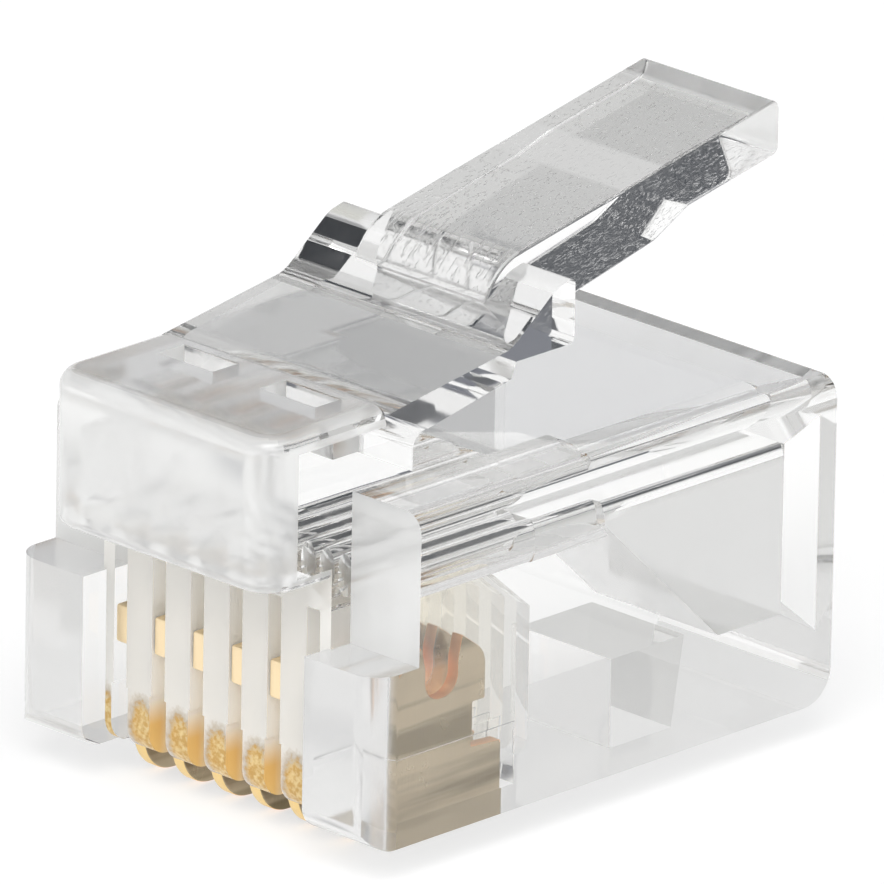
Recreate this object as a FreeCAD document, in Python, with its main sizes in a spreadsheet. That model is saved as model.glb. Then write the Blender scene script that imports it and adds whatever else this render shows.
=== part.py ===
"""Six position modular plug before crimping: a clear moulded housing, its spring latch and six contacts.

Each piece is drawn with X across the plug, Y back from the front of the two ears and Z up from the
underside of the housing. Placements then bring the origin below the middle of the whole plug, level
with the contact edges.
"""

import FreeCAD, Part
import math
import os
import Sketcher

doc = FreeCAD.newDocument("modular_plug")
sheet = doc.addObject("Spreadsheet::Sheet", "Sizes")
ORIGIN = FreeCAD.Vector(0, 0, 0)
UP = FreeCAD.Vector(0, 0, 1)
SAME = 1e-4  # lengths and volumes closer than this count as equal


class Size:
    """A driving dimension, or a sum of them: the text of its expression and its value in millimetres."""

    def __init__(self, text, value):
        self.text = text
        self.value = value

    def __add__(self, other):
        other = as_size(other)
        return Size(f"({self.text} + {other.text})", self.value + other.value)

    def __sub__(self, other):
        other = as_size(other)
        return Size(f"({self.text} - {other.text})", self.value - other.value)

    def __mul__(self, factor):
        factor = as_size(factor)
        return Size(f"({self.text} * {factor.text})", self.value * factor.value)

    def __truediv__(self, divisor):
        divisor = as_size(divisor)
        return Size(f"({self.text} / {divisor.text})", self.value / divisor.value)

    def __neg__(self):
        return Size(f"(0 - {self.text})", -self.value)


def as_size(number):
    return number if isinstance(number, Size) else Size(str(number), number)


def driving(alias, value):
    """Writes one driving dimension into the next row of the sheet."""
    driving.row += 1
    sheet.set(f"A{driving.row}", alias)
    sheet.set(f"B{driving.row}", str(value))
    sheet.setAlias(f"B{driving.row}", alias)
    return Size(f"Sizes.{alias}", value)


driving.row = 0
ZERO = as_size(0)

# Main block of the housing
body_width = driving("body_width", 9.65)
body_height = driving("body_height", 6.50)
body_back = driving("body_back", 12.33)
rear_round = driving("rear_round", 0.70)
top_edge_round = driving("top_edge_round", 0.42)

# Ears each side of the contacts, the ledge on top of them and the shoulder behind
ledge_height = driving("ledge_height", 3.48)
shoulder_back = driving("shoulder_back", 1.13)
comb_land = driving("comb_land", 0.21)
ear_corner = driving("ear_corner", 0.60)
front_round = driving("front_round", 0.50)
comb_back = driving("comb_back", 0.62)

# Nose above the contacts
nose_width = driving("nose_width", 6.02)
nose_reach = driving("nose_reach", 1.05)
nose_underside = driving("nose_underside", 4.80)
nose_rise = driving("nose_rise", 1.42)
nose_corner = driving("nose_corner", 0.75)
nose_rim_round = driving("nose_rim_round", 0.36)
nose_foot_round = driving("nose_foot_round", 0.28)
sink_pocket_width = driving("sink_pocket_width", 1.45)
sink_pocket_length = driving("sink_pocket_length", 0.70)
sink_pocket_depth = driving("sink_pocket_depth", 0.90)
sink_pocket_web = driving("sink_pocket_web", 1.25)
sink_pocket_back = driving("sink_pocket_back", 1.75)

# Latch: its root on the nose, its wide arm with the lock shoulders and its thumb tab
crease_back = driving("crease_back", 2.12)
crease_drop = driving("crease_drop", 0.12)
root_back = driving("root_back", 2.72)
root_gap = driving("root_gap", 0.75)
root_round = driving("root_round", 0.34)
root_land = driving("root_land", 0.06)
arm_run = driving("arm_run", 3.21)
arm_rise = driving("arm_rise", 0.49)
arm_thickness = driving("arm_thickness", 0.60)
lock_run = driving("lock_run", 1.68)
lock_rise = driving("lock_rise", 1.04)
lock_face = driving("lock_face", 1.32)
lock_flat = driving("lock_flat", 1.56)
lock_top_run = driving("lock_top_run", 0.50)
lock_top_drop = driving("lock_top_drop", 0.12)
lock_top_round = driving("lock_top_round", 0.60)
lock_foot_round = driving("lock_foot_round", 0.80)
lock_edge_round = driving("lock_edge_round", 0.12)
tab_width = driving("tab_width", 3.48)
tab_step = driving("tab_step", 0.25)
tab_run = driving("tab_run", 6.84)
tab_rise = driving("tab_rise", 1.40)
tab_thickness = driving("tab_thickness", 1.42)
tab_tip_thickness = driving("tab_tip_thickness", 1.12)
tab_thick_run = driving("tab_thick_run", 3.45)
tab_step_run = driving("tab_step_run", 0.95)
tab_bend_round = driving("tab_bend_round", 0.40)
tab_crest_round = driving("tab_crest_round", 1.20)
tab_root_round = driving("tab_root_round", 0.30)
tab_tip_round = driving("tab_tip_round", 0.20)
tab_corner = driving("tab_corner", 0.06)
ramp_flat = driving("ramp_flat", 0.42)
ramp_foot_share = driving("ramp_foot_share", 0.50)
ramp_run = driving("ramp_run", 0.45)

# Contact blades and the slots that hold them
contact_count = 6
contact_pitch = driving("contact_pitch", 1.02)
contact_thickness = driving("contact_thickness", 0.30)
contact_inset = driving("contact_inset", 0.03)
contact_proud = driving("contact_proud", 0.70)
contact_lug_low = driving("contact_lug_low", 2.10)
contact_lug_high = driving("contact_lug_high", 2.85)
contact_relief = driving("contact_relief", 0.20)
contact_neck_inset = driving("contact_neck_inset", 0.85)
contact_neck_low = driving("contact_neck_low", 1.25)
contact_crown_inset = driving("contact_crown_inset", 0.50)
contact_crown_top = driving("contact_crown_top", 1.00)
contact_length = driving("contact_length", 3.78)
contact_crown_round = driving("contact_crown_round", 0.80)
contact_heel_round = driving("contact_heel_round", 0.20)
contact_foot_height = driving("contact_foot_height", 0.94)
contact_notch_low = driving("contact_notch_low", 1.00)
contact_notch_high = driving("contact_notch_high", 1.89)
contact_notch_depth = driving("contact_notch_depth", 0.80)
contact_back_step = driving("contact_back_step", 0.47)
tine_height = driving("tine_height", 0.47)
tine_apex = driving("tine_apex", 0.64)
tine_round = driving("tine_round", 0.50)
tine_width = driving("tine_width", 0.75)
tine_gap = driving("tine_gap", 0.85)
tine_gap_depth = driving("tine_gap_depth", 0.65)
tine_gap_round = driving("tine_gap_round", 0.38)
slot_clearance = driving("slot_clearance", 0.02)
slot_end_clearance = driving("slot_end_clearance", 0.12)
slot_back_clearance = driving("slot_back_clearance", 0.28)
slot_lead_height = driving("slot_lead_height", 1.25)
slot_lead_clearance = driving("slot_lead_clearance", 0.05)
slot_relief_depth = driving("slot_relief_depth", 0.37)
slot_relief_low = driving("slot_relief_low", 0.57)
slot_relief_high = driving("slot_relief_high", 3.46)
slot_relief_round = driving("slot_relief_round", 0.25)
crimp_land = driving("crimp_land", 0.60)

# Conductor channels, cable cavity with its ramp, and the pocket under the ramp
channel_diameter = driving("channel_diameter", 0.86)
roof_thickness = driving("roof_thickness", 1.32)
channel_front = driving("channel_front", 1.20)
row_front = driving("row_front", 5.07)
row_round = driving("row_round", 0.35)
cavity_side_land = driving("cavity_side_land", 0.47)
cavity_floor = driving("cavity_floor", 1.75)
cavity_roof_round = driving("cavity_roof_round", 0.40)
ramp_from_rear = driving("ramp_from_rear", 2.47)
ramp_length = driving("ramp_length", 3.15)
mouth_length = driving("mouth_length", 0.75)
mouth_flare = driving("mouth_flare", 0.45)
pocket_width = driving("pocket_width", 5.20)
pocket_length = driving("pocket_length", 1.97)
pocket_depth = driving("pocket_depth", 1.79)
pocket_lean = driving("pocket_lean", 0.31)
pocket_web = driving("pocket_web", 0.51)

doc.recompute()

# Places worked out from the driving dimensions
nose_top = body_height + nose_rise
crease_top = nose_top - crease_drop
crease_front = crease_back - crease_drop
split_back = root_back + root_round + root_land
split_low = body_height + root_gap
split_high = crease_top + arm_rise * ((split_back - crease_back) / arm_run)
foot_back = crease_back + arm_run
foot_top = crease_top + arm_rise
lock_back = foot_back + lock_run
lock_top = foot_top + lock_rise
lock_low = lock_top - lock_face
tab_tip_back = lock_back + tab_run
tab_root_top = lock_top + tab_step
tab_tip_top = tab_root_top + tab_rise
contact_front = comb_back + contact_inset
contact_back = contact_front + contact_length
contact_upper_back = contact_back - contact_back_step
tine_tip = contact_lug_high + tine_height
contact_span = contact_pitch * (contact_count - 1)
first_contact = -(contact_span / 2)
slot_width = contact_thickness + slot_clearance * 2
ear_gap = contact_span + slot_width + comb_land * 2
channel_half = (contact_span + channel_diameter) / 2
cavity_width = (channel_half + cavity_side_land) * 2
cavity_roof = body_height - roof_thickness
channel_height = cavity_roof - channel_diameter / 2
crimp_travel = channel_height - contact_lug_high - crimp_land
cable_ramp_back = body_back - ramp_from_rear
cable_ramp_front = cable_ramp_back - ramp_length
channel_back = row_front + channel_diameter / 2
row_back = cable_ramp_front + channel_diameter / 2
pocket_back = cable_ramp_back - pocket_web
pocket_front = pocket_back - pocket_length
whole_middle = (tab_tip_back - nose_reach) / 2


def plane(body, role):
    return next(feature for feature in body.Origin.OriginFeatures if feature.Role == role)


def sketch_on(body, name, role, offset=None):
    """A sketch on one of the body's own planes, moved along the plane's normal by offset."""
    sketch = body.newObject("Sketcher::SketchObject", name)
    sketch.AttachmentSupport = (plane(body, role), "")
    sketch.MapMode = "FlatFace"
    if offset is not None:
        sketch.setExpression("AttachmentOffset.Base.z", offset.text)
    return sketch


def bind(sketch, constraint, size):
    index = sketch.addConstraint(constraint)
    sketch.setExpression(f"Constraints[{index}]", size.text)


def pin(sketch, geometry, position, across, up):
    """Holds one point of the sketch at a place given by two sizes."""
    bind(sketch, Sketcher.Constraint("DistanceX", -1, 1, geometry, position, across.value), across)
    bind(sketch, Sketcher.Constraint("DistanceY", -1, 1, geometry, position, up.value), up)


def tangent_length(before, corner, after, radius):
    """How far from a rounded corner its arc leaves the two sides."""
    inward = (before - corner).normalize()
    outward = (after - corner).normalize()
    return radius / math.tan(inward.getAngle(outward) / 2)


def corner_arc(before, corner, after, radius):
    """The arc of a rounded corner, drawn anticlockwise, and the points where it meets the two sides."""
    reach = tangent_length(before, corner, after, radius)
    start = corner + (before - corner).normalize() * reach
    end = corner + (after - corner).normalize() * reach
    middle_line = (start - corner + end - corner).normalize()
    centre = corner + middle_line * math.hypot(reach, radius)
    turns_left = (corner - before).cross(after - corner).z > 0
    first, last = (start, end) if turns_left else (end, start)
    first_angle = math.atan2(first.y - centre.y, first.x - centre.x)
    last_angle = math.atan2(last.y - centre.y, last.x - centre.x)
    if last_angle < first_angle:
        last_angle += 2 * math.pi
    arc = Part.ArcOfCircle(Part.Circle(centre, UP, radius), first_angle, last_angle)
    return arc, start, end, turns_left


def outline(sketch, corners):
    """Draws a closed outline of (across, up) or (across, up, radius) corners, each held by its sizes."""
    places = [FreeCAD.Vector(corner[0].value, corner[1].value, 0) for corner in corners]
    count = len(corners)
    arcs = []
    for index, corner in enumerate(corners):
        arc = None
        if len(corner) == 3:
            arc = corner_arc(places[index - 1], places[index], places[(index + 1) % count], corner[2].value)
        arcs.append(arc)
    sides = []
    for index in range(count):
        following = (index + 1) % count
        start = arcs[index][2] if arcs[index] else places[index]
        end = arcs[following][1] if arcs[following] else places[following]
        sides.append(sketch.addGeometry(Part.LineSegment(start, end), False))
    for index, corner in enumerate(corners):
        before = sides[index - 1]
        after = sides[index]
        if arcs[index] is None:
            sketch.addConstraint(Sketcher.Constraint("Coincident", before, 2, after, 1))
            pin(sketch, after, 1, corner[0], corner[1])
            continue
        arc, _, _, turns_left = arcs[index]
        curve = sketch.addGeometry(arc, False)
        first_end = 1 if turns_left else 2
        second_end = 3 - first_end
        sketch.addConstraint(Sketcher.Constraint("Tangent", before, 2, curve, first_end))
        sketch.addConstraint(Sketcher.Constraint("Tangent", curve, second_end, after, 1))
        bind(sketch, Sketcher.Constraint("Radius", curve, corner[2].value), corner[2])
        mark = sketch.addGeometry(Part.Point(places[index]), True)
        sketch.addConstraint(Sketcher.Constraint("PointOnObject", mark, 1, before))
        sketch.addConstraint(Sketcher.Constraint("PointOnObject", mark, 1, after))
        pin(sketch, mark, 1, corner[0], corner[1])


def rectangle(sketch, left, right, low, high):
    outline(sketch, [(left, low), (right, low), (right, high), (left, high)])


def sweep(body, kind, name, sketch, length, both_ways=False, reverse=False):
    """A pad or pocket of a sketch. It has to change the solid's volume."""
    doc.recompute()
    before = body.Shape.Volume if body.Tip else 0.0
    feature = body.newObject(f"PartDesign::{kind}", name)
    feature.Profile = sketch
    feature.SideType = "Symmetric" if both_ways else "One side"
    feature.Reversed = reverse
    feature.setExpression("Length", length.text)
    body.Tip = feature
    doc.recompute()
    if abs(body.Shape.Volume - before) < SAME:
        raise RuntimeError(f"{name} changes nothing")
    return feature


def repeat_across(body, name, original):
    """Repeats a cut once for each contact."""
    pattern = body.newObject("PartDesign::LinearPattern", name)
    pattern.Originals = [original]
    pattern.Direction = (plane(body, "X_Axis"), [""])
    pattern.Occurrences = contact_count
    pattern.setExpression("Length", contact_span.text)
    body.Tip = pattern
    doc.recompute()


def cut_loft(body, name, first, second):
    loft = body.newObject("PartDesign::SubtractiveLoft", name)
    loft.Profile = first
    loft.Sections = [second]
    loft.Ruled = True
    body.Tip = loft
    doc.recompute()


def round_edges(body, name, radius, chosen):
    """Rounds the edges of the body's solid for which chosen(edge) is true."""
    base = body.Tip
    edges = [f"Edge{index + 1}" for index, edge in enumerate(base.Shape.Edges) if chosen(edge)]
    if not edges:
        raise RuntimeError(f"{name} finds no edge")
    feature = body.newObject("PartDesign::Fillet", name)
    feature.Base = (base, edges)
    feature.setExpression("Radius", radius.text)
    body.Tip = feature
    doc.recompute()


def near(value, size):
    return abs(value - size.value) < SAME


def new_body(name):
    body = doc.addObject("PartDesign::Body", name)
    body.Label = name
    body.setExpression("Placement.Base.y", (-whole_middle).text)
    body.setExpression("Placement.Base.z", contact_proud.text)
    return body


def add_block_and_ears(body):
    """The full width block with the two ears in front, and the space between the ears."""
    side = sketch_on(body, "block_side", "YZ_Plane")
    outline(side, [
        (ZERO, ZERO, front_round),
        (body_back, ZERO, rear_round),
        (body_back, body_height),
        (shoulder_back, body_height),
        (shoulder_back, ledge_height),
        (ZERO, ledge_height),
    ])
    sweep(body, "Pad", "block", side, body_width, both_ways=True)

    recess = sketch_on(body, "comb_recess_side", "YZ_Plane")
    outline(recess, [
        (-comb_back, -front_round),
        (comb_back + front_round * 2, -front_round),
        (comb_back + front_round * 2, ZERO),
        (comb_back, ZERO, front_round),
        (comb_back, ledge_height + front_round),
        (-comb_back, ledge_height + front_round),
    ])
    sweep(body, "Pocket", "comb_recess", recess, ear_gap, both_ways=True)

    half = body_width / 2
    for name, sign in (("left", -1), ("right", 1)):
        corner = sketch_on(body, f"{name}_ear_corner_plan", "XY_Plane")
        outline(corner, [
            ((half + ear_corner) * sign, -ear_corner),
            ((half + ear_corner) * sign, ear_corner * 2),
            (half * sign, ear_corner * 2),
            (half * sign, ZERO, ear_corner),
            ((half - ear_corner * 2) * sign, ZERO),
            ((half - ear_corner * 2) * sign, -ear_corner),
        ])
        sweep(body, "Pocket", f"{name}_ear_corner", corner, ledge_height, reverse=True)


def add_nose(body):
    """The nose that stands over the contacts, with the root of the latch behind it."""
    side = sketch_on(body, "nose_side", "YZ_Plane")
    outline(side, [
        (comb_back, ledge_height - front_round),
        (comb_back, nose_underside),
        (-nose_reach, nose_underside),
        (-nose_reach, nose_top),
        (crease_front, nose_top),
        (crease_front, ledge_height - front_round),
    ])
    sweep(body, "Pad", "nose", side, nose_width, both_ways=True)

    half = nose_width / 2
    for name, sign in (("left", -1), ("right", 1)):
        corner = sketch_on(body, f"{name}_nose_corner_plan", "XY_Plane", nose_underside)
        outline(corner, [
            ((half + nose_corner) * sign, -(nose_reach + nose_corner)),
            ((half + nose_corner) * sign, nose_corner * 2 - nose_reach),
            (half * sign, nose_corner * 2 - nose_reach),
            (half * sign, -nose_reach, nose_corner),
            ((half - nose_corner * 2) * sign, -nose_reach),
            ((half - nose_corner * 2) * sign, -(nose_reach + nose_corner)),
        ])
        sweep(body, "Pocket", f"{name}_nose_corner", corner, nose_top - nose_underside, reverse=True)

    def on_nose_rim(edge):
        box = edge.BoundBox
        level = near(box.ZMin, nose_top) and near(box.ZMax, nose_top)
        return level and box.YMin < crease_front.value - SAME

    def on_nose_foot(edge):
        box = edge.BoundBox
        level = near(box.ZMin, nose_underside) and near(box.ZMax, nose_underside)
        return level and box.YMin < comb_back.value - SAME

    round_edges(body, "nose_rim", nose_rim_round, on_nose_rim)
    round_edges(body, "nose_foot", nose_foot_round, on_nose_foot)

    root = sketch_on(body, "latch_root_side", "YZ_Plane")
    outline(root, [
        (crease_front, ledge_height - front_round),
        (crease_front, nose_top),
        (crease_back, crease_top),
        (split_back, split_high),
        (split_back, split_low),
        (root_back, split_low, root_round),
        (root_back, ledge_height - front_round),
    ])
    sweep(body, "Pad", "latch_root", root, nose_width, both_ways=True)

    for name, sign in (("left", -1), ("right", 1)):
        pocket = sketch_on(body, f"{name}_sink_pocket_plan", "XY_Plane", nose_top)
        inner = sink_pocket_web / 2 * sign
        outer = (sink_pocket_web / 2 + sink_pocket_width) * sign
        rectangle(pocket, inner, outer, sink_pocket_back - sink_pocket_length, sink_pocket_back)
        sweep(body, "Pocket", f"{name}_sink_pocket", pocket, sink_pocket_depth)


def cut_contact_slots(body):
    """Six slots, open below and in front, with room for each blade to rise when it is crimped."""
    ahead = comb_back - front_round
    below = -front_round
    lug_top = contact_lug_high + crimp_travel + slot_clearance
    tine_front = contact_upper_back - tine_width * 2 - tine_gap - slot_end_clearance
    slot_back = contact_back + slot_back_clearance
    relief_back = slot_back + slot_relief_depth
    slot = sketch_on(body, "slot_side", "YZ_Plane", first_contact)
    outline(slot, [
        (ahead, below),
        (slot_back, below),
        (slot_back, slot_relief_low),
        (relief_back, slot_relief_low, slot_relief_round),
        (relief_back, slot_relief_high),
        (contact_upper_back - tine_width / 2, channel_height),
        (tine_front, channel_height),
        (tine_front, lug_top),
        (ahead, lug_top),
    ])
    first = sweep(body, "Pocket", "first_slot", slot, slot_width, both_ways=True)
    repeat_across(body, "slots", first)

    lead = sketch_on(body, "slot_lead_side", "YZ_Plane", first_contact)
    rectangle(lead, ahead, slot_back, below, slot_lead_height)
    lead_width = slot_width + slot_lead_clearance * 2
    first = sweep(body, "Pocket", "first_slot_lead", lead, lead_width, both_ways=True)
    repeat_across(body, "slot_leads", first)


def cut_cable_way(body):
    """The cable cavity with its flared mouth and its ramp, and the row of channels at the ramp's top."""
    half = cavity_width / 2
    side = sketch_on(body, "cavity_side", "YZ_Plane")
    outline(side, [
        (cable_ramp_back, cavity_floor),
        (body_back + rear_round, cavity_floor),
        (body_back + rear_round, cavity_roof),
        (cable_ramp_front, cavity_roof),
        (cable_ramp_front, channel_height),
    ])
    sweep(body, "Pocket", "cavity", side, cavity_width, both_ways=True)

    def on_long_roof_edge(edge):
        box = edge.BoundBox
        level = near(box.ZMin, cavity_roof) and near(box.ZMax, cavity_roof)
        return level and near(abs(box.Center.x), half) and box.YLength > ramp_length.value

    round_edges(body, "cavity_roof_edges", cavity_roof_round, on_long_roof_edge)

    outer = sketch_on(body, "mouth_outer", "XZ_Plane", -body_back)
    rectangle(outer, -(half + mouth_flare), half + mouth_flare,
              cavity_floor - mouth_flare, cavity_roof + mouth_flare)
    inner = sketch_on(body, "mouth_inner", "XZ_Plane", mouth_length - body_back)
    rectangle(inner, -half, half, cavity_floor, cavity_roof)
    cut_loft(body, "mouth", outer, inner)

    row = sketch_on(body, "channel_row_section", "XZ_Plane", -row_back)
    row_floor = channel_height - channel_diameter / 2
    outline(row, [
        (-channel_half, row_floor, row_round),
        (channel_half, row_floor, row_round),
        (channel_half, cavity_roof, row_round),
        (-channel_half, cavity_roof, row_round),
    ])
    sweep(body, "Pocket", "channel_row", row, row_back - row_front, reverse=True)

    hole = sketch_on(body, "channel_section", "XZ_Plane", -channel_back)
    circle = hole.addGeometry(Part.Circle(ORIGIN, UP, channel_diameter.value / 2), False)
    bind(hole, Sketcher.Constraint("Diameter", circle, channel_diameter.value), channel_diameter)
    pin(hole, circle, 3, first_contact, channel_height)
    first = sweep(body, "Pocket", "first_channel", hole, channel_back - channel_front, reverse=True)
    repeat_across(body, "channels", first)


def cut_clamp_pocket(body):
    """The pocket under the ramp. The bar above it is pressed onto the cable when the plug is crimped."""
    side = sketch_on(body, "clamp_pocket_side", "YZ_Plane")
    outline(side, [
        (pocket_front, ZERO),
        (pocket_back - pocket_lean, ZERO),
        (pocket_back, pocket_depth),
        (pocket_front, pocket_depth),
    ])
    sweep(body, "Pocket", "clamp_pocket", side, pocket_width, both_ways=True)


def make_housing():
    body = new_body("housing")
    add_block_and_ears(body)
    add_nose(body)

    def on_long_top_edge(edge):
        box = edge.BoundBox
        level = near(box.ZMin, body_height) and near(box.ZMax, body_height)
        at_side = near(abs(box.Center.x), body_width / 2)
        return level and at_side

    round_edges(body, "long_top_edges", top_edge_round, on_long_top_edge)
    cut_cable_way(body)
    cut_contact_slots(body)
    cut_clamp_pocket(body)
    return body


def make_latch():
    """The latch behind its living hinge: a wide arm with two lock shoulders, and the thumb tab."""
    body = new_body("latch")
    arm_low = foot_top - arm_thickness
    arm = sketch_on(body, "arm_side", "YZ_Plane")
    outline(arm, [
        (split_back, split_low),
        (foot_back, arm_low),
        (lock_back - lock_flat, lock_low),
        (lock_back, lock_low, lock_edge_round),
        (lock_back, lock_top, lock_edge_round),
        (lock_back - lock_top_run, lock_top - lock_top_drop, lock_top_round),
        (foot_back, foot_top, lock_foot_round),
        (split_back, split_high),
    ])
    sweep(body, "Pad", "arm", arm, nose_width, both_ways=True)

    slope = tab_rise / tab_run
    thick_back = lock_back + tab_thick_run
    thick_top = tab_root_top + slope * tab_thick_run
    thin_back = thick_back + tab_step_run
    thin_top = thick_top + slope * tab_step_run
    ramp_foot_back = foot_back + ramp_flat
    ramp_foot_top = foot_top + lock_rise * (ramp_flat / lock_run) * ramp_foot_share
    ramp_top_back = ramp_foot_back + ramp_run
    ramp_top = tab_root_top - slope * (lock_back - ramp_top_back)
    tab = sketch_on(body, "tab_side", "YZ_Plane")
    outline(tab, [
        (foot_back, arm_low),
        (lock_back - lock_flat, lock_low),
        (lock_back, lock_low),
        (thick_back, thick_top - tab_thickness, tab_bend_round),
        (thin_back, thin_top - tab_tip_thickness, tab_bend_round),
        (tab_tip_back, tab_tip_top - tab_tip_thickness, tab_tip_round),
        (tab_tip_back, tab_tip_top, tab_tip_round),
        (ramp_top_back, ramp_top, tab_crest_round),
        (ramp_foot_back, ramp_foot_top, tab_root_round),
        (foot_back, foot_top),
    ])
    sweep(body, "Pad", "tab", tab, tab_width, both_ways=True)

    def on_tip_corner(edge):
        box = edge.BoundBox
        at_tip = near(box.YMin, tab_tip_back) and near(box.YMax, tab_tip_back)
        return at_tip and box.ZLength > tab_tip_thickness.value / 2

    round_edges(body, "tip_corners", tab_corner, on_tip_corner)
    return body


def make_contact(number):
    """One contact blade: a lug and a neck in front, a rounded crown, a notched back and two tines."""
    body = new_body(f"contact_{number}")
    place = first_contact + contact_pitch * (number - 1)
    body.setExpression("Placement.Base.x", place.text)
    neck_front = contact_front + contact_neck_inset
    crown_front = contact_front + contact_crown_inset
    notch_back = contact_back - contact_notch_depth
    rear_tine_front = contact_upper_back - tine_width
    front_tine_back = rear_tine_front - tine_gap
    front_tine_front = front_tine_back - tine_width
    gap_floor = contact_lug_high - tine_gap_depth
    side = sketch_on(body, f"contact_{number}_side", "YZ_Plane")
    outline(side, [
        (contact_front, contact_lug_high),
        (contact_front, contact_lug_low),
        (neck_front, contact_lug_low - contact_relief),
        (neck_front, contact_neck_low),
        (crown_front, contact_crown_top),
        (crown_front, -contact_proud, contact_crown_round),
        (contact_back, -contact_proud, contact_heel_round),
        (contact_back, contact_foot_height),
        (notch_back, contact_notch_low),
        (notch_back, contact_notch_high),
        (contact_upper_back, contact_notch_high),
        (contact_upper_back, contact_lug_high, tine_round),
        (contact_upper_back - tine_apex, tine_tip),
        (rear_tine_front, contact_lug_high),
        (rear_tine_front, gap_floor, tine_gap_round),
        (front_tine_back, gap_floor, tine_gap_round),
        (front_tine_back, contact_lug_high),
        (front_tine_front + tine_apex, tine_tip),
        (front_tine_front, contact_lug_high),
    ])
    sweep(body, "Pad", f"contact_{number}_blade", side, contact_thickness, both_ways=True)
    return body


pieces = [make_housing(), make_latch()]
for contact_number in range(1, contact_count + 1):
    pieces.append(make_contact(contact_number))
doc.recompute()

for item in doc.Objects:
    if "Invalid" in item.State or "Error" in item.State:
        raise RuntimeError(f"{item.Name} failed: {item.State}")
for piece in pieces:
    if piece.Shape.isNull() or not piece.Shape.isValid() or len(piece.Shape.Solids) != 1:
        raise RuntimeError(f"{piece.Label} is not one sound solid")

os.makedirs("parts", exist_ok=True)
for piece in pieces:
    piece.Shape.exportStep(f"parts/{piece.Label}.step")
    print(piece.Label, round(piece.Shape.Volume, 4), piece.Shape.BoundBox)
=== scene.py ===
"""Looks of the six position modular plug: one clear moulding and six gold blades on a pale floor."""

import math

import bmesh
import bpy
from mathutils import Matrix, Vector


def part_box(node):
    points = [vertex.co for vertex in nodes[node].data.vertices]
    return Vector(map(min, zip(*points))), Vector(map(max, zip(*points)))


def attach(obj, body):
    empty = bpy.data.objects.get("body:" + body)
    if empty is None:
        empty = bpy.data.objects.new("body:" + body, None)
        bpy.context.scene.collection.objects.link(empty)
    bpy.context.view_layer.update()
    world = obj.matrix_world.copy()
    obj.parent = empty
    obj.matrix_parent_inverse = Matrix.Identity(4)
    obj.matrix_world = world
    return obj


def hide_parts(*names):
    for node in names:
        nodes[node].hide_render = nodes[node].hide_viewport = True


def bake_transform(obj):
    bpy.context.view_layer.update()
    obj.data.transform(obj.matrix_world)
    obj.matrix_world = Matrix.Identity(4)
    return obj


MM = 0.001
CONTACTS = [f"contact_{number}" for number in range(1, 7)]

# Camera fitted to the photograph: angles in degrees, lengths in millimetres
VIEW_AZIMUTH = 44.19
VIEW_ELEVATION = 19.82
VIEW_ROLL = 1.03
VIEW_DISTANCE = 400.0
VIEW_TARGET = (0.575, -0.40, 6.332)
LENS = 864.3
SENSOR = 36.0

# Dark flags in the white surround: each one's direction from the plug, the half angles between which it fades out, and
# its colour
FLAGS = (
    ((-0.394, 0.355, 0.848), math.radians(33), math.radians(42), (0.007, 0.013, 0.024)),
    ((0.656, -0.675, 0.339), math.radians(9), math.radians(15), (0.006, 0.009, 0.014)),
    ((-0.656, 0.675, 0.339), math.radians(9), math.radians(15), (0.11, 0.12, 0.15)),
)
SURROUND_WHITE = (0.965, 0.965, 0.965)

WELD = 1e-6
NEAR = 0.01  # millimetres within which a point counts as being at a place
FLAT_ANGLE = math.radians(0.5)
CREASE_ANGLE = math.radians(30)
MOULDING_SOFTENING = 0.03
BLADE_SOFTENING = 0.05

# Clear plastic: its tint, the loss of light along the way through it, its index and its wear and ripple
PLASTIC_TINT = (0.985, 0.985, 0.98, 1)
PLASTIC_DEPTH_TINT = (0.55, 0.55, 0.52, 1)
PLASTIC_DENSITY = 10.0
PLASTIC_INDEX = 1.585
WEAR_SCALE = 1.3
WEAR_RANGE = (0.25, 0.75)
RIPPLE_STRETCH = (1.0, 0.45, 1.0)
RIPPLE_GRAIN = 1.1
RIPPLE_DEPTH = 0.02
PIT_RANGE = (0.58, 0.66)  # the share of the ripple's noise that is cut out as pits

# Blades: gold at the front, paler above the lug as a painted highlight, copper at the back edges and bronze on the
# sides
GOLD = (0.94, 0.70, 0.32)
# Painted highlight: the paler gold above the lug
GOLD_PAINTED_HIGHLIGHT = (0.97, 0.78, 0.50)
GOLD_PAINTED_HIGHLIGHT_FROM = (1.6, 2.2)
GOLD_FULL = -5.0  # in front of this, in millimetres along the plug, a blade is bright gold
GOLD_NONE = -4.5
COPPER = ((1.0, 0.60, 0.32), (0.90, 0.47, 0.22))
BRONZE = ((0.50, 0.41, 0.28), (0.24, 0.19, 0.11))
BAND_STRETCH = (0.2, 0.05, 1.0)
LINE_STRETCH = (1.0, 14.0, 0.8)
LINE_DEPTH = 0.012

# The comb: where its ribs' fronts are, and a painted glow of the gold behind each rib, from the rib's middle, with a
# painted dark rim and painted gold glints
COMB_HALF_WIDTH = 2.95
COMB_TOP = 5.2
RIB_FRONT = -5.78
RIB_EDGE_ROUND = 0.09
RIB_EDGE_LENGTH = 0.5  # longer edges are the upright ones
RIB_PITCH = 1.02
RIB_WHITE = (0.97, 0.95, 0.90)
# Painted glow: gold colour low on each rib front, with a painted dark rim and painted glints
PAINTED_GLOW_MIDDLE = (0.09, 1.12)
PAINTED_GLOW_REACH = (0.29, 0.66)
PAINTED_GLOW_SHADE = (0.46, 0.33, 0.17)
PAINTED_GLOW_GLINTS = ((0.70, 0.40, 0.08), (1.0, 0.74, 0.32))
PAINTED_GLOW_RAGGED = 1.8
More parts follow.
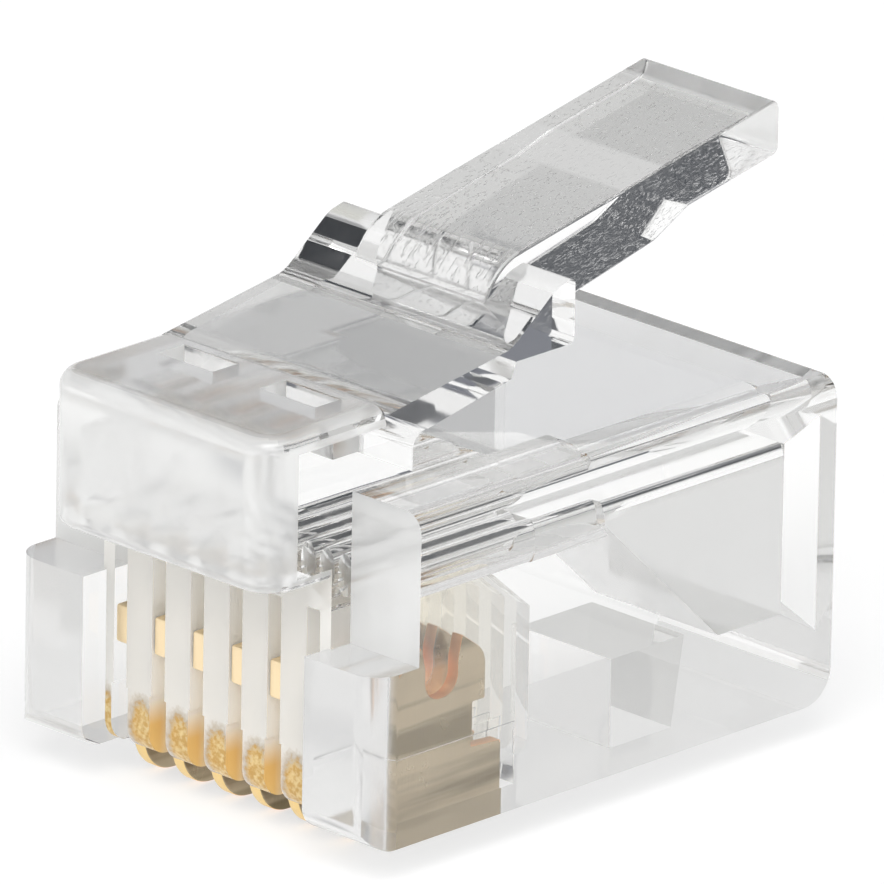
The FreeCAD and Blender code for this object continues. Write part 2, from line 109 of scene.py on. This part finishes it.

# The slot walls: a painted reflection of gold low at the front and of copper beside the tines, and where each of them
# fades
# Painted reflection: gold low at the front and copper beside the tines, in the walls' own colour
SLOT_PAINTED_GOLD = (0.88, 0.60, 0.22)
SLOT_PAINTED_GOLD_TOP = (1.35, 1.85)
SLOT_PAINTED_GOLD_BACK = (-5.5, -5.0)
SLOT_PAINTED_COPPER = (0.88, 0.60, 0.36)
TINE_LOW = (2.5, 2.7)
TINE_HIGH = (3.35, 3.50)
TINE_FRONT = (-4.4, -4.2)
TINE_BACK = (-3.0, -2.8)
SLOT_PAINTED_GLOW = 0.085  # painted light: emission standing in for the light that the clear ribs lead into their slots
SLOT_PAINTED_GLOW_BACK = (-4.7, -4.3)
TINE_PAINTED_GLOW = 0.15  # painted light: emission standing in for the light that the copper tines throw on the slot walls beside them

# The right corner of the latch root's front top edge, and how far it is drawn in and down
ROOT_CORNER = (3.01, -4.40, 8.62)
ROOT_CORNER_EASE = 0.085

# Where each finish of the moulding lies, the first match first. A zone has ranges of a face's middle in millimetres,
# x to either side, and of its normal, nx to either side. What no zone holds is polished.
LEAST = -math.inf
MOST = math.inf
FRONT = (LEAST, -5.15)
ZONES = (
    ("comb_front", {"x": (LEAST, COMB_HALF_WIDTH), "y": FRONT, "z": (LEAST, COMB_TOP), "ny": (LEAST, -0.1)}),
    ("slot_wall", {"x": (LEAST, 2.6), "y": (LEAST, -1.2), "z": (LEAST, COMB_TOP), "nx": (0.9, MOST)}),
    ("faint_ramp", {"y": (-0.3, MOST), "z": (LEAST, 5.5), "ny": (0.3, MOST), "nz": (0.3, MOST)}),
    ("faint_ramp", {"x": (LEAST, 2.7), "y": (0.5, MOST), "z": (LEAST, 2.6), "ny": (LEAST, 0.9)}),
    ("underside", {"y": (-4.0, MOST), "z": (LEAST, 0.9), "nz": (LEAST, -0.9)}),
    ("ear_front", {"x": (COMB_HALF_WIDTH, MOST), "y": FRONT, "z": (LEAST, COMB_TOP), "ny": (LEAST, -0.35)}),
    ("frosted_front", {"y": FRONT, "ny": (LEAST, -0.35)}),
    ("frosted_front", {"y": (LEAST, -4.5), "z": (4.6, MOST), "nx": (0.9, MOST)}),
    ("frosted_top", {"y": (LEAST, -4.3), "z": (8.3, MOST), "nz": (0.7, MOST)}),
    ("frosted_top", {"y": (LEAST, -4.3), "z": (LEAST, 4.5), "nz": (0.7, MOST)}),
    ("frosted_top", {"y": (6.0, MOST), "z": (8.5, MOST), "ny": (0.6, MOST)}),
    ("frosted_top", {"x": (1.6, MOST), "y": (-1.2, 0.9), "z": (8.2, MOST), "nz": (0.5, MOST)}),
    ("sparked_tab", {"y": (0.7, MOST), "z": (8.6, MOST), "nz": (LEAST, -0.7)}),
    ("arm_top", {"y": (-4.3, -0.6), "z": (7.5, 8.8), "nz": (0.7, MOST)}),
    ("channel", {"x": (LEAST, 3.4), "y": (-5.3, -0.4), "z": (4.9, 6.0), "ny": (-0.5, 0.5)}),
    ("cavity_wall", {"x": (3.2, 3.7), "y": (-1.2, MOST), "z": (2.0, 6.0), "nx": (0.9, MOST)}),
)

FLOOR_SIZE = 3.0
FLOOR_DROP = 0.01 * MM
FLOOR_GREY = (0.40, 0.40, 0.40, 1)
FLOOR_GLOW = 0.66

SOFTBOX_PLACE = (0.16, -0.20, 0.34)
SOFTBOX_AIM = (0, 0, 0.006)
SOFTBOX_SIZE = 0.26
SOFTBOX_POWER = 0.8

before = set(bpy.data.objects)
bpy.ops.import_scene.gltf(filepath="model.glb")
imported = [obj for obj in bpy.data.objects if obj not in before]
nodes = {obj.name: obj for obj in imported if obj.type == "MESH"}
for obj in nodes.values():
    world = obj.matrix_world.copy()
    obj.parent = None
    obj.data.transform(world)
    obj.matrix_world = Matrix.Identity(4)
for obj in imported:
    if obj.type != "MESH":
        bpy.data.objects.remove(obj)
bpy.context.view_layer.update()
scene = bpy.context.scene


def link(name, data):
    thing = bpy.data.objects.new(name, data)
    scene.collection.objects.link(thing)
    return thing


def welded(names):
    """A bmesh copy of CAD nodes with the vertices of neighbouring faces joined."""
    work = bmesh.new()
    for name in names:
        work.from_mesh(nodes[name].data)
    bmesh.ops.remove_doubles(work, verts=work.verts, dist=WELD)
    return work


def join_flat_faces(work):
    bmesh.ops.dissolve_limit(work, angle_limit=FLAT_ANGLE, verts=work.verts, edges=work.edges)


def soften(work, width):
    """Bevels every sharp edge by a small width, so that it catches light."""
    sharp = [edge for edge in work.edges if edge.is_manifold and edge.calc_face_angle(0) > CREASE_ANGLE]
    bmesh.ops.bevel(work, geom=sharp, offset=width, offset_type="OFFSET", segments=2, profile=0.5,
                    affect="EDGES", clamp_overlap=True)


def round_ribs(work):
    """Rounds the upright front edges of the ribs, down to where the round of their lower corner starts."""
    upright = []
    for edge in work.edges:
        ends = [vertex.co / MM for vertex in edge.verts]
        at_front = all(abs(end.y - RIB_FRONT) < NEAR and abs(end.x) < COMB_HALF_WIDTH for end in ends)
        is_upright = abs(ends[0].z - ends[1].z) > RIB_EDGE_LENGTH
        if at_front and is_upright and edge.calc_face_angle(0) > CREASE_ANGLE:
            upright.append(edge)
    bmesh.ops.bevel(work, geom=upright, offset=RIB_EDGE_ROUND * MM, offset_type="OFFSET", segments=4,
                    profile=0.5, affect="EDGES", clamp_overlap=True)


def ease_root_corners(work):
    """Draws in the two square corners behind the nose's rounded top edges, to just outside those rounds."""
    for vertex in work.verts:
        side = math.copysign(1, vertex.co.x)
        corner = Vector((side * ROOT_CORNER[0], ROOT_CORNER[1], ROOT_CORNER[2]))
        if (vertex.co / MM - corner).length < NEAR:
            vertex.co += Vector((-side, 0, -1)) * ROOT_CORNER_EASE * MM


def finished(work, name):
    """Turns the bmesh into an object with smooth shading inside each crease."""
    for face in work.faces:
        face.smooth = True
    for edge in work.edges:
        edge.smooth = not edge.is_manifold or edge.calc_face_angle(0) < CREASE_ANGLE
    mesh = bpy.data.meshes.new(name)
    work.to_mesh(mesh)
    work.free()
    thing = link(name, mesh)
    normals = thing.modifiers.new("flat_faces_stay_flat", "WEIGHTED_NORMAL")
    normals.mode = "FACE_AREA"
    normals.weight = 50
    normals.keep_sharp = True
    return thing


class Nodes:
    """Short calls for building one material's or world's node tree."""

    def __init__(self, owner, keep=False):
        owner.use_nodes = True
        self.tree = owner.node_tree
        if not keep:
            self.tree.nodes.clear()

    def add(self, kind, **settings):
        node = self.tree.nodes.new(kind)
        for name, value in settings.items():
            setattr(node, name, value)
        return node

    def join(self, output, node, socket):
        self.tree.links.new(output, node.inputs[socket])

    def place_in_mm(self, scale=(1, 1, 1)):
        """Object coordinates in millimetres, stretched by scale."""
        coordinates = self.add("ShaderNodeTexCoord")
        mapping = self.add("ShaderNodeMapping")
        mapping.inputs["Scale"].default_value = [part / MM for part in scale]
        self.join(coordinates.outputs["Object"], mapping, "Vector")
        return mapping.outputs["Vector"]

    def noise(self, place, scale, detail=4.0):
        node = self.add("ShaderNodeTexNoise")
        node.inputs["Scale"].default_value = scale
        node.inputs["Detail"].default_value = detail
        self.join(place, node, "Vector")
        return node.outputs["Fac"]

    def spread(self, value, low, high, to_low, to_high):
        node = self.add("ShaderNodeMapRange")
        node.inputs["From Min"].default_value = low
        node.inputs["From Max"].default_value = high
        node.inputs["To Min"].default_value = to_low
        node.inputs["To Max"].default_value = to_high
        self.join(value, node, "Value")
        return node.outputs["Result"]

    def blend(self, value, first, second):
        """A colour between first and second. Each is a colour or another node's colour output."""
        node = self.add("ShaderNodeMix", data_type="RGBA")
        factor, first_socket, second_socket = node.inputs[0], node.inputs[6], node.inputs[7]
        self.tree.links.new(value, factor)
        for colour, socket in ((first, first_socket), (second, second_socket)):
            if isinstance(colour, tuple):
                socket.default_value = (*colour, 1)
            else:
                self.tree.links.new(colour, socket)
        return node.outputs[2]

    def axis_in_mm(self, axis):
        axes = self.add("ShaderNodeSeparateXYZ")
        self.join(self.place_in_mm(), axes, "Vector")
        return axes.outputs[axis]

    def product(self, first, second):
        return self.math("MULTIPLY", first, second)

    def math(self, operation, *values):
        """A math node. Each value is a number or another node's output."""
        node = self.add("ShaderNodeMath", operation=operation)
        for socket, value in zip(node.inputs, values):
            if isinstance(value, (int, float)):
                socket.default_value = value
            else:
                self.tree.links.new(value, socket)
        return node.outputs["Value"]

    def bump(self, height, depth, strength):
        node = self.add("ShaderNodeBump")
        node.inputs["Distance"].default_value = depth
        node.inputs["Strength"].default_value = strength
        self.join(height, node, "Height")
        return node.outputs["Normal"]

    def principled(self):
        shader = self.add("ShaderNodeBsdfPrincipled")
        self.output = self.add("ShaderNodeOutputMaterial")
        self.join(shader.outputs["BSDF"], self.output, "Surface")
        return shader

    def absorb(self, colour, density):
        """Light is lost along its way through the solid, as in any clear plastic."""
        volume = self.add("ShaderNodeVolumeAbsorption")
        volume.inputs["Color"].default_value = colour
        volume.inputs["Density"].default_value = density
        self.join(volume.outputs["Volume"], self.output, "Volume")


def clear_plastic(name, rough_low, rough_high, ripple, fades=(), grain=RIPPLE_GRAIN, haze=0.0,
                  bend=PLASTIC_INDEX, pitted=False):
    """Polycarbonate with a ripple or pits of the given grain, faint wear and a share of white haze. Each fade is
    an axis, where roughness and haze start to fade along it, where the fade ends, and the share left there. The
    bend is the refractive index. Inner faces that barely show in the real plug have a lower one."""
    material = bpy.data.materials.new(name)
    tree = Nodes(material)
    shader = tree.principled()
    shader.inputs["Base Color"].default_value = PLASTIC_TINT
    shader.inputs["Transmission Weight"].default_value = 1.0 - haze
    shader.inputs["IOR"].default_value = bend
    tree.absorb(PLASTIC_DEPTH_TINT, PLASTIC_DENSITY)
    wear = tree.noise(tree.place_in_mm(), WEAR_SCALE)
    rough = tree.spread(wear, *WEAR_RANGE, rough_low, rough_high)
    if fades:
        clearing = None
        for axis, start, end, left in fades:
            fade = tree.spread(tree.axis_in_mm(axis), start, end, 1, left)
            clearing = tree.product(clearing, fade) if clearing else fade
        rough = tree.product(rough, clearing)
        tree.join(tree.spread(clearing, 0, 1, 1, 1 - haze), shader, "Transmission Weight")
    tree.join(rough, shader, "Roughness")
    flow = tree.noise(tree.place_in_mm(RIPPLE_STRETCH), grain, 2.0)
    if pitted:
        flow = tree.spread(flow, *PIT_RANGE, 0, 1)
    tree.join(tree.bump(flow, RIPPLE_DEPTH * MM, ripple), shader, "Normal")
    return material


def rib_front():
    """The frosted front of the ribs. The gold of the blade behind a rib is painted into the colour of its lower part
    as a painted glow, with a painted dark rim and painted glints.
    """
    material = clear_plastic("comb_front_painted_glow_look", 0.10, 0.18, 0.05, haze=0.62)
    tree = Nodes(material, keep=True)
    # Painted glow: gold colour low on each rib, standing in for the blade seen through the frost
    from_middle = tree.math("WRAP", tree.axis_in_mm("X"), RIB_PITCH / 2, -RIB_PITCH / 2)
    aside = tree.math("DIVIDE", tree.math("SUBTRACT", from_middle, PAINTED_GLOW_MIDDLE[0]), PAINTED_GLOW_REACH[0])
    above = tree.math("DIVIDE", tree.math("SUBTRACT", tree.axis_in_mm("Z"), PAINTED_GLOW_MIDDLE[1]), PAINTED_GLOW_REACH[1])
    away = tree.math("ADD", tree.math("POWER", tree.math("ABSOLUTE", aside), 2),
                     tree.math("POWER", tree.math("ABSOLUTE", above), 3))
    grain = tree.noise(tree.place_in_mm(), 11.0, 6.0)
    ragged = tree.math("ADD", away, tree.product(tree.math("SUBTRACT", grain, 0.5), PAINTED_GLOW_RAGGED))
    # Painted shade: a dark rim around the painted gold glow
    shade = tree.blend(tree.spread(ragged, 0.8, 2.2, 0.75, 0), RIB_WHITE, PAINTED_GLOW_SHADE)
    # Painted glints of gold inside the glow
    painted_glints = tree.blend(tree.spread(grain, 0.40, 0.64, 0, 1), *PAINTED_GLOW_GLINTS)
    colour = tree.blend(tree.spread(ragged, 0.45, 1.15, 1, 0), shade, painted_glints)
    tree.join(colour, tree.tree.nodes["Principled BSDF"], "Base Color")
    return material


def slot_wall():
    """The rubbed wall of a slot, with a painted reflection of the gold of the blade's lug low at the front and
    of the copper of its tines higher up, and painted light glowing from it at the front and beside the tines."""
    material = clear_plastic("rubbed_wall_painted_reflection_look", 0.38, 0.48, 0.05, [("Z", 2.4, 3.4, 0.8), ("Y", -4.4, -3.9, 0.0)],
                             haze=0.70)
    tree = Nodes(material, keep=True)
    # Painted reflection of the lug's gold, low at the front
    low = tree.spread(tree.axis_in_mm("Z"), *SLOT_PAINTED_GOLD_TOP, 1, 0)
    forward = tree.spread(tree.axis_in_mm("Y"), *SLOT_PAINTED_GOLD_BACK, 1, 0)
    colour = tree.blend(tree.product(low, forward), RIB_WHITE, SLOT_PAINTED_GOLD)
    # Painted reflection of the tines' copper beside them
    beside_tines = tree.product(tree.spread(tree.axis_in_mm("Z"), *TINE_LOW, 0, 1),
                                tree.spread(tree.axis_in_mm("Z"), *TINE_HIGH, 1, 0))
    beside_tines = tree.product(beside_tines, tree.spread(tree.axis_in_mm("Y"), *TINE_FRONT, 0, 1))
    beside_tines = tree.product(beside_tines, tree.spread(tree.axis_in_mm("Y"), *TINE_BACK, 1, 0))
    colour = tree.blend(beside_tines, colour, SLOT_PAINTED_COPPER)
    shader = tree.tree.nodes["Principled BSDF"]
    tree.join(colour, shader, "Base Color")
    # Painted light: the wall glows in its own painted colour, most at the front and beside the tines
    tree.join(colour, shader, "Emission Color")
    front_glow = tree.spread(tree.axis_in_mm("Y"), *SLOT_PAINTED_GLOW_BACK, SLOT_PAINTED_GLOW, 0)
    glow = tree.math("ADD", front_glow, tree.product(beside_tines, TINE_PAINTED_GLOW))
    tree.join(glow, shader, "Emission Strength")
    return material


def blade_metal(name, bright, dull, rough_low, rough_high, plated, metallic):
    """Stamped metal: fine lines up the blade, dull bands along it and, where plated, bright gold at its front, paler
    higher up as a painted highlight.
    """
    material = bpy.data.materials.new(name)
    tree = Nodes(material)
    shader = tree.principled()
    shader.inputs["Metallic"].default_value = metallic
    patches = tree.noise(tree.place_in_mm(), 1.6)
    bands = tree.noise(tree.place_in_mm(BAND_STRETCH), 2.6, 3.0)
    bare = tree.blend(tree.spread(bands, 0.42, 0.60, 0, 1), bright, dull)
    plating = tree.spread(tree.axis_in_mm("Y"), GOLD_FULL, GOLD_NONE, plated, 0)
    # Painted highlight: the gold turns paler above the lug
    gold = tree.blend(tree.spread(tree.axis_in_mm("Z"), *GOLD_PAINTED_HIGHLIGHT_FROM, 0, 1), GOLD, GOLD_PAINTED_HIGHLIGHT)
    tree.join(tree.blend(plating, bare, gold), shader, "Base Color")
    tree.join(tree.spread(patches, 0.3, 0.7, rough_low, rough_high), shader, "Roughness")
    lines = tree.noise(tree.place_in_mm(LINE_STRETCH), 1.4, 6.0)
    tree.join(tree.bump(lines, LINE_DEPTH * MM, 0.55), shader, "Normal")
    return material


def finish_of(face):
    """The name of the finish that a face of the moulding has."""
    place = face.calc_center_median() / MM
    normal = face.normal
    measures = {"x": abs(place.x), "y": place.y, "z": place.z,
                "nx": abs(normal.x), "ny": normal.y, "nz": normal.z}
    for finish, ranges in ZONES:
        if all(low < measures[key] < high for key, (low, high) in ranges.items()):
            return finish
    return "polished"


def make_moulding():
    """Housing and latch as the one clear moulding they are, without a skin where the two solids meet."""
    work = welded(["housing", "latch"])
    latch_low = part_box("latch")[0]
    joint = [
        face for face in work.faces
        if all(abs(v.co.y - latch_low.y) < WELD and v.co.z > latch_low.z - WELD for v in face.verts)
    ]
    bmesh.ops.delete(work, geom=joint, context="FACES")
    bmesh.ops.remove_doubles(work, verts=work.verts, dist=WELD)
    join_flat_faces(work)
    round_ribs(work)
    ease_root_corners(work)
    soften(work, MOULDING_SOFTENING * MM)
    finishes = {
        "polished": clear_plastic("polished_look", 0.0, 0.05, 0.01),
        "frosted_front": clear_plastic("frosted_front_look", 0.16, 0.24, 0.05, haze=0.36),
        "comb_front": rib_front(),
        "frosted_top": clear_plastic("frosted_top_look", 0.18, 0.24, 0.05, haze=0.30),
        "sparked_tab": clear_plastic("sparked_look", 0.0, 0.08, 0.22, grain=13.0, pitted=True),
        "slot_wall": slot_wall(),
        "faint_ramp": clear_plastic("faint_ramp_look", 0.04, 0.10, 0.05, haze=0.12, bend=1.01),
        "channel": clear_plastic("drawn_channel_look", 0.0, 0.06, 0.10, grain=7.0),
        "cavity_wall": clear_plastic("cavity_wall_look", 0.12, 0.18, 0.05, haze=0.30),
        "underside": clear_plastic("clear_under_look", 0.02, 0.06, 0.01, haze=0.15, bend=1.02),
        "ear_front": clear_plastic("ear_front_look", 0.10, 0.18, 0.05, haze=0.20),
        "arm_top": clear_plastic("arm_top_look", 0.03, 0.10, 0.03, haze=0.18),
    }
    order = list(finishes)
    for face in work.faces:
        face.material_index = order.index(finish_of(face))
    moulding = finished(work, "clear_moulding")
    for finish in finishes.values():
        moulding.data.materials.append(finish)
    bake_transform(moulding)
    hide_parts("housing", "latch")


def make_blades():
    edge_metal = blade_metal("copper_edge_look", *COPPER, 0.28, 0.50, plated=1.0, metallic=0.6)
    side_metal = blade_metal("bronze_side_look", *BRONZE, 0.25, 0.42, plated=0.0, metallic=1.0)
    for name in CONTACTS:
        work = welded([name])
        join_flat_faces(work)
        soften(work, BLADE_SOFTENING * MM)
        for face in work.faces:
            face.material_index = 1 if abs(face.normal.x) > 0.9 else 0
        blade = finished(work, name.replace("contact", "blade"))
        blade.data.materials.append(edge_metal)
        blade.data.materials.append(side_metal)
        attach(blade, "plug")
        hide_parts(name)


def make_floor():
    """A pale floor that glows a little, as a light table does."""
    bpy.ops.mesh.primitive_plane_add(size=FLOOR_SIZE, location=(0, 0, -FLOOR_DROP))
    floor = bpy.context.object
    floor.name = "floor"
    material = bpy.data.materials.new("pale_floor")
    tree = Nodes(material)
    shader = tree.principled()
    shader.inputs["Base Color"].default_value = FLOOR_GREY
    shader.inputs["Roughness"].default_value = 0.9
    shader.inputs["Emission Color"].default_value = (1, 1, 1, 1)
    shader.inputs["Emission Strength"].default_value = FLOOR_GLOW
    floor.data.materials.append(material)


def make_surround():
    """A white surround with dark flags that the clear plastic mirrors inside."""
    world = bpy.data.worlds.new("surround")
    scene.world = world
    tree = Nodes(world)
    coordinates = tree.add("ShaderNodeTexCoord")
    colour = SURROUND_WHITE
    for direction, inner, outer, dark in FLAGS:
        toward = tree.add("ShaderNodeVectorMath", operation="DOT_PRODUCT")
        toward.inputs[1].default_value = direction
        tree.join(coordinates.outputs["Generated"], toward, 0)
        flag = tree.spread(toward.outputs["Value"], math.cos(outer), math.cos(inner), 0, 1)
        colour = tree.blend(flag, colour, dark)
    background = tree.add("ShaderNodeBackground")
    tree.join(colour, background, "Color")
    output = tree.add("ShaderNodeOutputWorld")
    tree.join(background.outputs["Background"], output, "Surface")


def add_softbox():
    data = bpy.data.lights.new("front_softbox", "AREA")
    data.shape = "SQUARE"
    data.size = SOFTBOX_SIZE
    data.energy = SOFTBOX_POWER
    light = link("front_softbox", data)
    light.location = SOFTBOX_PLACE
    aim = Vector(SOFTBOX_AIM) - Vector(SOFTBOX_PLACE)
    light.rotation_mode = "QUATERNION"
    light.rotation_quaternion = aim.to_track_quat("-Z", "Y")


def make_camera():
    azimuth = math.radians(VIEW_AZIMUTH)
    elevation = math.radians(VIEW_ELEVATION)
    roll = math.radians(VIEW_ROLL)
    forward = Vector((-math.sin(azimuth) * math.cos(elevation), math.cos(azimuth) * math.cos(elevation),
                      -math.sin(elevation)))
    level = Vector((math.cos(azimuth), math.sin(azimuth), 0))
    upright = level.cross(forward)
    right = level * math.cos(roll) + upright * math.sin(roll)
    up = upright * math.cos(roll) - level * math.sin(roll)
    data = bpy.data.cameras.new("camera")
    data.lens = LENS
    data.sensor_width = SENSOR
    data.dof.use_dof = False
    data.clip_start = 0.01
    data.clip_end = 10.0
    camera = link("camera", data)
    turn = Matrix((right, up, -forward)).transposed().to_4x4()
    place = (Vector(VIEW_TARGET) - forward * VIEW_DISTANCE) * MM
    camera.matrix_world = Matrix.Translation(place) @ turn
    scene.camera = camera


make_moulding()
make_blades()
make_floor()
make_surround()
add_softbox()
make_camera()

scene.view_settings.view_transform = "Standard"
scene.cycles.max_bounces = 24
scene.cycles.transmission_bounces = 24
scene.cycles.glossy_bounces = 12
scene.cycles.diffuse_bounces = 6
